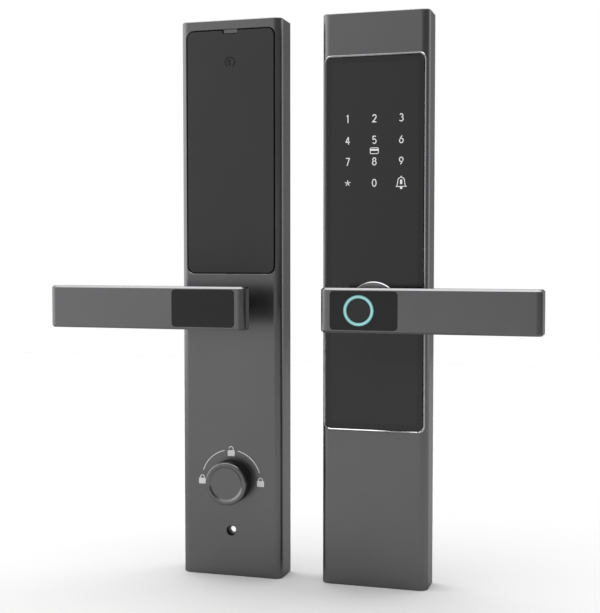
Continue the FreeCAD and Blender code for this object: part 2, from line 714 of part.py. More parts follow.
def exterior_fixing_posts():
    """Threaded posts that the through-door screws from the interior unit pull on."""
    posts = []
    for z in (FIXING_LOW_Z, FIXING_HIGH_Z):
        stud = rod(EXTERIOR_X, z, POST_R, POST_BACK, EXTERIOR_DEPTH - FRONT_WALL)
        posts.append(stud.cut(rod(EXTERIOR_X, z, POST_HOLE_R, POST_BACK, POST_BACK + POST_HOLE_DEPTH)))
    return Part.makeCompound(posts)


def exterior_back_plate():
    """Back plate with holes for the posts, spindle and cable."""
    holes = [cable_hole(EXTERIOR_X, CABLE_HOLE_Z)]
    for z in (FIXING_LOW_Z, FIXING_HIGH_Z):
        holes.append(rod(EXTERIOR_X, z, POST_R + POST_CLEARANCE, PLATE_BACK, PLATE_FRONT))
    return back_plate(EXTERIOR_X, holes)


def emergency_port():
    """Power socket in the foot of the exterior unit, for when the batteries are flat."""
    x = EXTERIOR_X
    half = PORT_WIDTH / 2
    reach = PORT_DEPTH / 2
    mouth_top = PORT_RAISE + PORT_MOUTH
    shell = block(x - half, x + half, MOTOR_CENTRE - reach, MOTOR_CENTRE + reach,
                  PORT_RAISE, PORT_RAISE + PORT_HEIGHT)
    shell = shell.makeFillet(PORT_RADIUS, edges_along(shell, FreeCAD.Vector(0, 0, 1)))
    mouth = block(x - half + PORT_SHELL, x + half - PORT_SHELL, MOTOR_CENTRE - reach + PORT_SHELL,
                  MOTOR_CENTRE + reach - PORT_SHELL, PORT_RAISE, mouth_top)
    tongue = block(x - half + TONGUE_INSET, x + half - TONGUE_INSET, MOTOR_CENTRE - TONGUE_THICKNESS / 2,
                   MOTOR_CENTRE + TONGUE_THICKNESS / 2, PORT_RAISE + TONGUE_SETBACK, mouth_top)
    return shell.cut(mouth.cut(tongue))


def port_board():
    """Circuit board that carries the emergency socket."""
    half = PORT_BOARD_WIDTH / 2
    reach = PORT_BOARD_DEPTH / 2
    seat = PORT_RAISE + PORT_HEIGHT
    return block(EXTERIOR_X - half, EXTERIOR_X + half, MOTOR_CENTRE - reach, MOTOR_CENTRE + reach,
                 seat, seat + PORT_BOARD_THICKNESS)


def clutch_motor():
    """Small motor that drives the clutch of the outside lever."""
    x = EXTERIOR_X
    body = post(x, MOTOR_CENTRE, MOTOR_R, MOTOR_BOTTOM, MOTOR_TOP)
    for low in (x - MOTOR_R, x + MOTOR_R - MOTOR_FLAT):
        body = body.cut(block(low, low + MOTOR_FLAT, MOTOR_CENTRE - MOTOR_R, MOTOR_CENTRE + MOTOR_R,
                              MOTOR_BOTTOM, MOTOR_TOP))
    return body.cut(post(x, MOTOR_CENTRE, WORM_R + WORM_CLEARANCE, MOTOR_TOP - MOTOR_SHAFT_HOLE, MOTOR_TOP))


def motor_bracket():
    """Plastic cradle that holds the clutch motor to the front wall."""
    inside = EXTERIOR_DEPTH - FRONT_WALL
    reach = MOTOR_R + CRADLE_WALL
    cradle = block(EXTERIOR_X - reach, EXTERIOR_X + reach, MOTOR_CENTRE, inside, CRADLE_BOTTOM, CRADLE_TOP)
    return cradle.cut(post(EXTERIOR_X, MOTOR_CENTRE, MOTOR_R + RUNNING, MOTOR_BOTTOM, MOTOR_TOP))


def clutch_worm():
    """Driving screw on the motor's shaft."""
    shaft = post(EXTERIOR_X, MOTOR_CENTRE, WORM_R, MOTOR_TOP - WORM_ENTRY, WORM_TOP)
    return shaft.fuse(post(EXTERIOR_X, MOTOR_CENTRE, WORM_CAP_R, WORM_TOP, WORM_TOP + WORM_CAP))


def clutch_slider():
    """Nut on the worm, with two prongs that rise towards the lever's neck."""
    x = EXTERIOR_X
    low = MOTOR_CENTRE - SLIDER_DEPTH / 2
    high = MOTOR_CENTRE + SLIDER_DEPTH / 2
    nut = block(x - SLIDER_WIDTH / 2, x + SLIDER_WIDTH / 2, low, high, SLIDER_BOTTOM, SLIDER_TOP)
    nut = nut.cut(post(x, MOTOR_CENTRE, WORM_R + WORM_CLEARANCE, SLIDER_BOTTOM, SLIDER_TOP))
    half = PRONG_WIDTH / 2
    reach = PRONG_DEPTH / 2
    for place in (x - PRONG_OFFSET, x + PRONG_OFFSET):
        nut = nut.fuse(block(place - half, place + half, MOTOR_CENTRE - reach, MOTOR_CENTRE + reach,
                             SLIDER_TOP, PRONG_TOP))
    return nut


def outside_inlay():
    """Inlay of the outside lever, with the round opening of the fingerprint reader."""
    front = LEVER_FRONT - INLAY_RECESS
    plate = lever_inlay(EXTERIOR_X, 1)
    return plate.cut(rod(EXTERIOR_X, LEVER_Z, RING_OUTER_R + READER_GAP, front - INLAY_THICKNESS, front))


def fingerprint_sensor():
    """Round touch surface of the fingerprint reader."""
    return rod(EXTERIOR_X, LEVER_Z, SENSOR_R, SENSOR_BACK, SENSOR_FRONT)


def fingerprint_ring():
    """Light ring round the fingerprint sensor."""
    return tube(EXTERIOR_X, LEVER_Z, RING_INNER_R, RING_OUTER_R, SENSOR_BACK, RING_FRONT)


def fingerprint_board():
    """Circuit board under the fingerprint sensor."""
    x = EXTERIOR_X
    half = READER_BOARD_LENGTH / 2
    return block(x - half, x + half, READER_BOARD_BACK, SENSOR_BACK,
                 LEVER_Z - READER_BOARD_HEIGHT / 2, LEVER_Z + READER_BOARD_HEIGHT / 2)


# ---- interior unit -----------------------------------------------------------------------------
def interior_housing():
    """Shell with the battery opening, the thumb-turn boss, the fixing hole and board standoffs."""
    x = INTERIOR_X
    inside = INTERIOR_DEPTH - FRONT_WALL
    shell = housing_shell(x, INTERIOR_DEPTH)
    opening = slab(x, COVER_BOTTOM - COVER_GAP, COVER_TOP + COVER_GAP, COVER_WIDTH + 2 * COVER_GAP,
                   COVER_RADIUS + COVER_GAP, inside, INTERIOR_DEPTH)
    shell = shell.cut(opening).cut(opening_chamfer())
    lip_top = COVER_TOP + COVER_GAP
    lip = block(x - NOTCH_HALF_WIDTH + COVER_GAP, x + NOTCH_HALF_WIDTH - COVER_GAP, inside,
                INTERIOR_DEPTH - LIP_DEPTH, lip_top - NOTCH_HEIGHT, lip_top)
    boss = rod(x, THUMB_TURN_Z, TURN_BOSS_R, TURN_BUSH_BACK, inside)
    fixing_boss = rod(x, FIXING_LOW_Z, FIXING_BOSS_R, FIXING_BOSS_BACK, inside)
    shell = shell.fuse([lip, boss, fixing_boss])
    shell = shell.fuse([rod(place, z, STANDOFF_R, BOARD_FRONT, inside) for place, z in standoff_places()])
    shell = shell.cut(rod(x, THUMB_TURN_Z, TURN_BUSH_R + RUNNING, TURN_BUSH_BACK, INTERIOR_DEPTH))
    shell = shell.cut(rod(x, FIXING_LOW_Z, FIXING_HOLE_R, FIXING_BOSS_BACK, INTERIOR_DEPTH))
    counterbore_floor = INTERIOR_DEPTH - FIXING_COUNTERBORE
    return shell.cut(rod(x, FIXING_LOW_Z, FIXING_COUNTERBORE_R, counterbore_floor, INTERIOR_DEPTH))


def opening_chamfer():
    """Cutter for the chamfer round the battery opening."""
    grow = COVER_GAP + OPENING_CHAMFER
    floor = INTERIOR_DEPTH - OPENING_CHAMFER
    cutter = slab(INTERIOR_X, COVER_BOTTOM - grow, COVER_TOP + grow, COVER_WIDTH + 2 * grow,
                  COVER_RADIUS + grow, floor, INTERIOR_DEPTH + OVERCUT)
    return cutter.makeChamfer(OPENING_CHAMFER, edges_at_distance(cutter, floor))


def standoff_places():
    """Where the control board rests on the housing."""
    reach = BOARD_HALF_WIDTH - STANDOFF_INSET
    heights = (BOARD_BOTTOM + STANDOFF_INSET, BOARD_TOP - STANDOFF_INSET)
    return [(INTERIOR_X + side * reach, z) for side in (-1, 1) for z in heights]


def battery_cover():
    """Lift-off cover with a thumb notch in its top edge."""
    x = INTERIOR_X
    back = INTERIOR_DEPTH - COVER_THICKNESS
    cover = slab(x, COVER_BOTTOM, COVER_TOP, COVER_WIDTH, COVER_RADIUS, back, INTERIOR_DEPTH)
    cover = cover.makeChamfer(COVER_CHAMFER, edges_at_distance(cover, INTERIOR_DEPTH))
    notch = block(x - NOTCH_HALF_WIDTH, x + NOTCH_HALF_WIDTH, back, INTERIOR_DEPTH,
                  COVER_TOP - NOTCH_HEIGHT, COVER_TOP)
    return cover.cut(notch)


def cell_places():
    """Middle of each cell, bottom of its bay, and whether it stands with its nub down."""
    places = []
    for row in range(CELL_ROWS):
        for column in range(CELL_COLUMNS):
            cell_x = INTERIOR_X + CELL_PITCH * (column - (CELL_COLUMNS - 1) / 2)
            bay_bottom = TRAY_BOTTOM + TRAY_WALL + ROW_PITCH * row
            places.append((cell_x, bay_bottom, column % 2 == 1))
    return places


def battery_tray():
    """Open tray with two bays of cells, one above the other."""
    x = INTERIOR_X
    inside = INTERIOR_DEPTH - FRONT_WALL
    top = TRAY_BOTTOM + TRAY_WALL + CELL_ROWS * ROW_PITCH
    tray = block(x - TRAY_HALF_WIDTH, x + TRAY_HALF_WIDTH, PLATE_FRONT, inside, TRAY_BOTTOM, top)
    for row in range(CELL_ROWS):
        low = TRAY_BOTTOM + TRAY_WALL + ROW_PITCH * row
        tray = tray.cut(block(x - TRAY_HALF_WIDTH + TRAY_WALL, x + TRAY_HALF_WIDTH - TRAY_WALL,
                              PLATE_FRONT + TRAY_WALL, inside, low, low + ROW_PITCH - DIVIDER))
    return tray


def batteries():
    """Eight round cells, alternate ones upside down."""
    cells = []
    for x, bay, nub_down in cell_places():
        end = CONTACT_SHEET if nub_down else CONTACT_SHEET + CONTACT_SPRING
        low = bay + end
        barrel_low = low + CELL_NUB if nub_down else low
        nub_low = low if nub_down else low + CELL_LENGTH - CELL_NUB
        barrel = post(x, CELL_AXIS, CELL_R, barrel_low, barrel_low + CELL_LENGTH - CELL_NUB)
        cells.append(barrel.fuse(post(x, CELL_AXIS, CELL_NUB_R, nub_low, nub_low + CELL_NUB)))
    return Part.makeCompound(cells)


def battery_contacts():
    """Contact sheets and springs at both ends of each cell."""
    half = CONTACT_SIDE / 2
    contacts = []
    for x, bay, nub_down in cell_places():
        top = bay + ROW_PITCH - DIVIDER
        spring_low = top - CONTACT_SHEET - CONTACT_SPRING if nub_down else bay + CONTACT_SHEET
        lower = block(x - half, x + half, CELL_AXIS - half, CELL_AXIS + half, bay, bay + CONTACT_SHEET)
        upper = block(x - half, x + half, CELL_AXIS - half, CELL_AXIS + half, top - CONTACT_SHEET, top)
        coil = post(x, CELL_AXIS, CONTACT_SPRING_R, spring_low, spring_low + CONTACT_SPRING)
        if nub_down:
            upper = upper.fuse(coil)
        else:
            lower = lower.fuse(coil)
        contacts.extend([lower, upper])
    return Part.makeCompound(contacts)


def service_board():
    """Circuit board above the cells, with the set switch and the battery socket."""
    x = INTERIOR_X
    return block(x - SERVICE_BOARD_HALF_WIDTH, x + SERVICE_BOARD_HALF_WIDTH, PLATE_FRONT,
                 PLATE_FRONT + BOARD_THICKNESS, SERVICE_BOARD_BOTTOM, SERVICE_BOARD_TOP)


def set_switch():
    """Body of the switch that the set button presses."""
    x = INTERIOR_X + SWITCH_X
    z = (SERVICE_BOARD_BOTTOM + SERVICE_BOARD_TOP) / 2
    seat = PLATE_FRONT + BOARD_THICKNESS
    half = SWITCH_SIDE / 2
    body = block(x - half, x + half, seat, seat + SWITCH_BODY, z - half, z + half)
    return body.cut(rod(x, z, BUTTON_R + BUTTON_CLEARANCE, seat + SWITCH_FLOOR, seat + SWITCH_BODY))


def set_button():
    """Button that starts enrolment of a new user."""
    x = INTERIOR_X + SWITCH_X
    z = (SERVICE_BOARD_BOTTOM + SERVICE_BOARD_TOP) / 2
    front = PLATE_FRONT + BOARD_THICKNESS + SWITCH_BODY + BUTTON_PROUD
    return rod(x, z, BUTTON_R, front - BUTTON_LENGTH, front)


def battery_socket():
    """Socket that takes the battery lead."""
    x = INTERIOR_X + SOCKET_X
    z = (SERVICE_BOARD_BOTTOM + SERVICE_BOARD_TOP) / 2
    seat = PLATE_FRONT + BOARD_THICKNESS
    return header(x, z, SOCKET_WIDTH, seat, seat + SOCKET_DEPTH)


def inside_collar():
    """Bearing sleeve of the inside lever, almost flush with the housing."""
    return tube(INTERIOR_X, LEVER_Z, NECK_R + RUNNING, SLEEVE_R, SLEEVE_BACK,
                INTERIOR_DEPTH + INSIDE_COLLAR_PROUD)


def interior_back_plate():
    """Back plate with holes for the fixing screws, spindle, tailpiece and cable."""
    holes = [
        rod(INTERIOR_X, FIXING_LOW_Z, PLATE_FIXING_R, PLATE_BACK, PLATE_FRONT),
        rod(INTERIOR_X, FIXING_HIGH_Z, FIXING_HOLE_R, PLATE_BACK, PLATE_FRONT),
        rod(INTERIOR_X, THUMB_TURN_Z, TAILPIECE_HOLE_R, PLATE_BACK, PLATE_FRONT),
        cable_hole(INTERIOR_X, INTERIOR_CABLE_HOLE_Z),
    ]
    return back_plate(INTERIOR_X, holes)


def control_board():
    """Main circuit board of the interior unit, in front of the cable hole and clear of it."""
    x = INTERIOR_X
    return block(x - BOARD_HALF_WIDTH, x + BOARD_HALF_WIDTH, BOARD_FRONT - BOARD_THICKNESS, BOARD_FRONT,
                 BOARD_BOTTOM, BOARD_TOP)


def control_board_chips():
    """Processor, motor driver, module and capacitor on the control board."""
    seat = BOARD_FRONT - BOARD_THICKNESS
    capacitor = rod(CAPACITOR_X, CAPACITOR_Z, CAPACITOR_R, seat - CAPACITOR_HEIGHT, seat)
    return Part.makeCompound(chips(INTERIOR_X, 0, seat, CONTROL_CHIPS) + [capacitor])


def buzzer():
    """Round buzzer on the control board."""
    seat = BOARD_FRONT - BOARD_THICKNESS
    back = seat - BUZZER_DEPTH
    body = rod(BUZZER_X, BUZZER_Z, BUZZER_R, back, seat)
    return body.cut(rod(BUZZER_X, BUZZER_Z, BUZZER_SOUND_R, back, back + BUZZER_SOUND_DEPTH))


def interior_cable_socket():
    """Socket on the control board for the cable through the door."""
    seat = BOARD_FRONT - BOARD_THICKNESS
    return header(INTERIOR_HEADER_X, INTERIOR_HEADER_Z, CABLE_HEADER_WIDTH, seat,
                  seat - INTERIOR_HEADER_DEPTH)


def thumb_turn_knob():
    """Knurled knob with a dished face."""
    x = INTERIOR_X
    base = INTERIOR_DEPTH + KNOB_LIFT
    knob = rod(x, THUMB_TURN_Z, KNOB_R, base, KNOB_FRONT)
    knob = knob.makeFillet(KNOB_EDGE, edges_at_distance(knob, KNOB_FRONT))
    dish = Part.makeCone(KNOB_DISH_OUTER_R, KNOB_DISH_INNER_R, KNOB_DISH_DEPTH,
                         FreeCAD.Vector(x, DOOR_Y - KNOB_FRONT, THUMB_TURN_Z), FreeCAD.Vector(0, 1, 0))
    knob = knob.cut(dish)
    grooves = []
    for number in range(KNURLS):
        angle = 2 * math.pi * number / KNURLS
        reach = KNOB_R + KNURL_OUTSET
        grooves.append(rod(x + reach * math.cos(angle), THUMB_TURN_Z + reach * math.sin(angle), KNURL_R,
                           base + KNURL_START, KNOB_FRONT - KNOB_EDGE - KNURL_END_GAP))
    return knob.cut(Part.makeCompound(grooves))


def thumb_turn_shaft():
    """Shaft of the thumb-turn, with the circlip groove and the slot for the lock's tailpiece."""
    x = INTERIOR_X
    shaft = rod(x, THUMB_TURN_Z, TURN_SHAFT_R, TURN_SHAFT_BACK, INTERIOR_DEPTH + KNOB_LIFT)
    shaft = shaft.cut(tube(x, THUMB_TURN_Z, TURN_SHAFT_R - TURN_GROOVE, TURN_SHAFT_R + OVERCUT,
                           TURN_CLIP_BACK - RUNNING, TURN_CLIP_FRONT + RUNNING))
    slot = block(x - TAILPIECE_WIDTH / 2, x + TAILPIECE_WIDTH / 2, TURN_SHAFT_BACK,
                 TURN_SHAFT_BACK + TAILPIECE_DEPTH, THUMB_TURN_Z - TAILPIECE_THICKNESS / 2,
                 THUMB_TURN_Z + TAILPIECE_THICKNESS / 2)
    return shaft.cut(slot)


def thumb_turn_bush():
    """Brass bearing of the thumb-turn."""
    x = INTERIOR_X
    bush = rod(x, THUMB_TURN_Z, TURN_BUSH_R, TURN_BUSH_BACK, INTERIOR_DEPTH)
    flange_back = TURN_BUSH_BACK - TURN_FLANGE
    bush = bush.fuse(rod(x, THUMB_TURN_Z, TURN_FLANGE_R, flange_back, TURN_BUSH_BACK))
    return bush.cut(rod(x, THUMB_TURN_Z, TURN_SHAFT_R + RUNNING, flange_back, INTERIOR_DEPTH))


def thumb_turn_washer():
    """Spring washer that gives the thumb-turn its stiffness."""
    return tube(INTERIOR_X, THUMB_TURN_Z, TURN_WASHER_BORE_R, TURN_WASHER_R,
                TURN_CLIP_FRONT + TURN_WASHER_GAP, TURN_BUSH_BACK - TURN_FLANGE)


def thumb_turn_clip():
    """Circlip on the thumb-turn's shaft."""
    return split_ring(INTERIOR_X, THUMB_TURN_Z, TURN_SHAFT_R - TURN_GROOVE + RUNNING, TURN_CLIP_R,
                      TURN_CLIP_BACK, TURN_CLIP_FRONT, TURN_CLIP_GAP)


def all_nodes():
    """Every piece of both units, by name."""
    return {
        "exterior_housing": exterior_housing(),
        "exterior_back_plate": exterior_back_plate(),
        "exterior_gasket": gasket(EXTERIOR_X),
        "exterior_plate_screws": plate_screws(EXTERIOR_X),
        "exterior_fixing_posts": exterior_fixing_posts(),
        "keypad_bezel": keypad_bezel(),
        "touch_glass": touch_glass(),
        "key_light_guide": key_light_guide(),
        "touch_board": touch_board(),
        "touch_board_chips": touch_board_chips(),
        "card_antenna": card_antenna(),
        "exterior_cable_socket": exterior_cable_socket(),
        "speaker": speaker(),
        "emergency_port": emergency_port(),
        "port_board": port_board(),
        "clutch_motor": clutch_motor(),
        "motor_bracket": motor_bracket(),
        "clutch_worm": clutch_worm(),
        "clutch_slider": clutch_slider(),
        "outside_collar": outside_collar(),
        "outside_lever": lever(EXTERIOR_X, 1),
        "outside_lever_neck": lever_neck(EXTERIOR_X),
        "outside_lever_screws": lever_screws(EXTERIOR_X),
        "outside_lever_clip": lever_clip(EXTERIOR_X),
        "outside_lever_inlay": outside_inlay(),
        "outside_lever_spring": clock_spring(EXTERIOR_X, LEVER_Z),
        "fingerprint_sensor": fingerprint_sensor(),
        "fingerprint_ring": fingerprint_ring(),
        "fingerprint_board": fingerprint_board(),
        "interior_housing": interior_housing(),
        "interior_back_plate": interior_back_plate(),
        "interior_gasket": gasket(INTERIOR_X),
        "interior_plate_screws": plate_screws(INTERIOR_X),
        "battery_cover": battery_cover(),
        "battery_tray": battery_tray(),
        "batteries": batteries(),
        "battery_contacts": battery_contacts(),
        "service_board": service_board(),
        "set_switch": set_switch(),
        "set_button": set_button(),
        "battery_socket": battery_socket(),
        "control_board": control_board(),
        "control_board_chips": control_board_chips(),
        "buzzer": buzzer(),
        "interior_cable_socket": interior_cable_socket(),
        "inside_collar": inside_collar(),
        "inside_lever": lever(INTERIOR_X, -1),
        "inside_lever_neck": lever_neck(INTERIOR_X),
        "inside_lever_screws": lever_screws(INTERIOR_X),
        "inside_lever_clip": lever_clip(INTERIOR_X),
        "inside_lever_inlay": lever_inlay(INTERIOR_X, -1),
        "inside_lever_spring": clock_spring(INTERIOR_X, LEVER_Z),
        "thumb_turn_knob": thumb_turn_knob(),
        "thumb_turn_shaft": thumb_turn_shaft(),
        "thumb_turn_bush": thumb_turn_bush(),
        "thumb_turn_washer": thumb_turn_washer(),
        "thumb_turn_clip": thumb_turn_clip(),
    }


os.makedirs("parts", exist_ok=True)
for name, shape in all_nodes().items():
    shape.exportStep(os.path.join("parts", name + ".step"))
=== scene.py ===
"""Looks of the keypad smart lock: prints, icons, materials, studio light and camera.

Metres. +X is to the right, +Z is up and the decorated faces look along -Y.
"""
import json
import math

import bmesh
import bpy
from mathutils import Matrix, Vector


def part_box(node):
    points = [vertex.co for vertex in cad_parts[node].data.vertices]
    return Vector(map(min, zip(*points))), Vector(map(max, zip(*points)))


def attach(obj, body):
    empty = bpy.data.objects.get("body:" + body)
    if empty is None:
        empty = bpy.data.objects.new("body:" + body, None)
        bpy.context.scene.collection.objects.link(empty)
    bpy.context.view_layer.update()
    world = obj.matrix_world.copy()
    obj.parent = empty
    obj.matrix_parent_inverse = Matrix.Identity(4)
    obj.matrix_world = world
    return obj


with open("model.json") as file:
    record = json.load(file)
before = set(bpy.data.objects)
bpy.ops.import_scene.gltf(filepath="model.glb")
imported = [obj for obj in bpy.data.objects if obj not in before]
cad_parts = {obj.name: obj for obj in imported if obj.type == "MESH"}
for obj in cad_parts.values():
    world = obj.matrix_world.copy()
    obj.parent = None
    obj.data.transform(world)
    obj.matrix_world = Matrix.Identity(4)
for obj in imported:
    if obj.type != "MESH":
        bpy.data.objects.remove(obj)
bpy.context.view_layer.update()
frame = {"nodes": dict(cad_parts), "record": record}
MM = 0.001

# ---- camera ---------------------------------------------------------------------------------
CAMERA_AZIMUTH = math.radians(16.223)
CAMERA_ELEVATION = math.radians(2.812)
CAMERA_DISTANCE = 0.78372
CAMERA_TARGET = Vector((-0.00712, 0.0335, 0.1857))
CAMERA_LENS = 66.58
CAMERA_SENSOR = 36.0
CAMERA_NEAREST = 0.01
CAMERA_FURTHEST = 100.0

# ---- print on the glass ---------------------------------------------------------------------
PRINT_THICKNESS = 0.03 * MM
PRINT_GAP = 0.01 * MM
# The star and the bell stand at the two empty places of the last row.
KEY_ROWS = ["123", "456", "789", " 0 "]
KEY_PITCH_X = 17.9 * MM
KEY_PITCH_Z = 14.0 * MM
KEY_TOP_Z = 310.6 * MM
KEY_BOTTOM_Z = KEY_TOP_Z - KEY_PITCH_Z * (len(KEY_ROWS) - 1)
DIGIT_HEIGHT = 5.2 * MM
DIGIT_STROKE = 0.6 * MM
STAR_HEIGHT = 3.9 * MM
STAR_STROKE = 0.5 * MM
STAR_ARMS = 5
CARD_Z = 289.5 * MM
CARD_WIDTH = 5.9 * MM
CARD_HEIGHT = 4.2 * MM
CARD_CORNER = 0.7 * MM
CARD_STROKE = 0.45 * MM
CARD_STRIPE = 1.1 * MM
BELL_WIDTH = 7.2 * MM
BELL_HEIGHT = 8.7 * MM
BELL_STROKE = 0.5 * MM
# Dome's radius as a share of the bell's half width, and bar's and knob's widths as shares of the
# bell's width and of its stroke.
BELL_DOME = 0.62
BELL_BAR_WIDTH = 0.2
BELL_KNOB_WIDTH = 1.6
# Shares of the bell's height: rim below the key's middle, then heights above the rim, and sizes.
BELL_RIM_DROP = 0.3
BELL_DOME_RISE = 0.42
BELL_FLARE_RISE = 0.14
BELL_BAR_RISE = 0.34
BELL_BAR_HEIGHT = 0.34
BELL_CLAPPER = 0.1

# ---- print round the thumb-turn and on the cover --------------------------------------------
SCALE_RADIUS = 21.4 * MM
SCALE_STROKE = 0.55 * MM
SCALE_LEFT = (103.0, 162.0)
SCALE_RIGHT = (18.0, 77.0)
LOCK_OFFSET = 21.2 * MM
LOCK_WIDTH = 5.0 * MM
LOCK_HEIGHT = 4.0 * MM
LOCK_CORNER = 0.4 * MM
SHACKLE_RADIUS = 1.4 * MM
SHACKLE_STROKE = 0.6 * MM
SHACKLE_LEG = 1.2 * MM
COVER_MARK_Z = 351.5 * MM
COVER_MARK_RADIUS = 3.4 * MM
COVER_MARK_INNER_RADIUS = 1.7 * MM
COVER_MARK_STROKE = 0.45 * MM
COVER_MARK_OUTER_ARC = (-60, 240)
COVER_MARK_INNER_ARC = (90, 270)

# ---- fineness of the outlines ---------------------------------------------------------------
ARC_STEPS = 32
CORNER_STEPS = 6
SHACKLE_STEPS = 12
DOT_STEPS = 24
# The mitre at a sharp corner is at most half the stroke's width divided by this.
MITRE_LIMIT = 0.4

# ---- places read from the CAD ---------------------------------------------------------------
GLASS_LOW, GLASS_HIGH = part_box("touch_glass")
EXTERIOR_X = (GLASS_LOW.x + GLASS_HIGH.x) / 2
GLASS_Y = GLASS_LOW.y
INTERIOR_LOW, INTERIOR_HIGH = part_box("interior_housing")
INTERIOR_X = (INTERIOR_LOW.x + INTERIOR_HIGH.x) / 2
INTERIOR_Y = INTERIOR_LOW.y
COVER_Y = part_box("battery_cover")[0].y
RING_LOW, RING_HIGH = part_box("fingerprint_ring")
SENSOR_LOW, SENSOR_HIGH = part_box("fingerprint_sensor")
KNOB_LOW, KNOB_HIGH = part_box("thumb_turn_knob")
KNOB_Z = (KNOB_LOW.z + KNOB_HIGH.z) / 2


# ---- outlines, as lists of (across, up); angles in degrees, anticlockwise from the right ----
def on_circle(centre, radius, angle):
    """Point on a circle."""
    turn = math.radians(angle)
    return (centre[0] + radius * math.cos(turn), centre[1] + radius * math.sin(turn))


def arc(centre, radius, start, end, steps=ARC_STEPS):
    """Points on a circle from one angle to another."""
    return [on_circle(centre, radius, start + (end - start) * step / steps) for step in range(steps + 1)]


def oval(centre, across, up, start, end):
    """Points on an upright ellipse from one angle to another."""
    return [(centre[0] + across * x, centre[1] + up * y) for x, y in arc((0.0, 0.0), 1.0, start, end)]


def dot(centre, radius):
    """Closed outline of a round dot."""
    return arc(centre, radius, 0, 360, DOT_STEPS)[:-1]


def rounded_rectangle(centre, width, height, corner):
    """Closed outline, anticlockwise."""
    reach = width / 2 - corner
    rise = height / 2 - corner
    points = []
    for side, up, start in ((1, -1, -90), (1, 1, 0), (-1, 1, 90), (-1, -1, 180)):
        corner_centre = (centre[0] + side * reach, centre[1] + up * rise)
        points += arc(corner_centre, corner, start, start + 90, CORNER_STEPS)
    return points


def turned(strokes):
    """Strokes after half a turn."""
    return [[(-x, -y) for x, y in stroke] for stroke in strokes]


def is_closed(points):
    """Whether a line ends where it starts."""
    return Vector(points[0]) == Vector(points[-1])


def joint_offsets(points, width):
    """For each point of a line, the step from its middle to its left edge, mitred at the corners."""
    sides = []
    for first, second in zip(points, points[1:]):
        along = (Vector(second) - Vector(first)).normalized()
        sides.append(Vector((-along.y, along.x)))
    closed = is_closed(points)
    offsets = []
    for index in range(len(points)):
        before = sides[index - 1] if index or closed else sides[0]
        after = sides[index] if index < len(sides) else (sides[0] if closed else sides[-1])
        middle = (before + after).normalized()
        offsets.append(middle * (width / 2 / max(middle.dot(after), MITRE_LIMIT)))
    return offsets


# Strokes of each digit in a box one unit high, centred on the origin.
SIX = [
    oval((0.0, -0.17), 0.235, 0.275, 0, 360),
    [(-0.205, -0.04), (-0.12, 0.12), (0.09, 0.445)],
]
DIGITS = {
    "0": [oval((0.0, 0.0), 0.24, 0.445, 0, 360)],
    "1": [[(-0.13, 0.31), (0.03, 0.445), (0.03, -0.5)]],
    "2": [oval((0.0, 0.2), 0.22, 0.245, 170, -35) + [(-0.21, -0.445), (0.25, -0.445)]],
    "3": [oval((-0.01, 0.225), 0.2, 0.22, 150, -90), oval((-0.01, -0.2), 0.235, 0.245, 90, -150)],
    "4": [[(0.1, -0.5), (0.1, 0.445)], [(0.1, 0.445), (-0.25, -0.22)], [(-0.27, -0.22), (0.27, -0.22)]],
    "5": [[(0.21, 0.445), (-0.16, 0.445), (-0.19, 0.06)], oval((-0.01, -0.17), 0.235, 0.275, 140, -145)],
    "6": SIX,
    "7": [[(-0.24, 0.445), (0.22, 0.445), (-0.08, -0.5)]],
    "8": [oval((0.0, 0.23), 0.19, 0.215, 0, 360), oval((0.0, -0.2), 0.235, 0.245, 0, 360)],
    "9": turned(SIX),
}


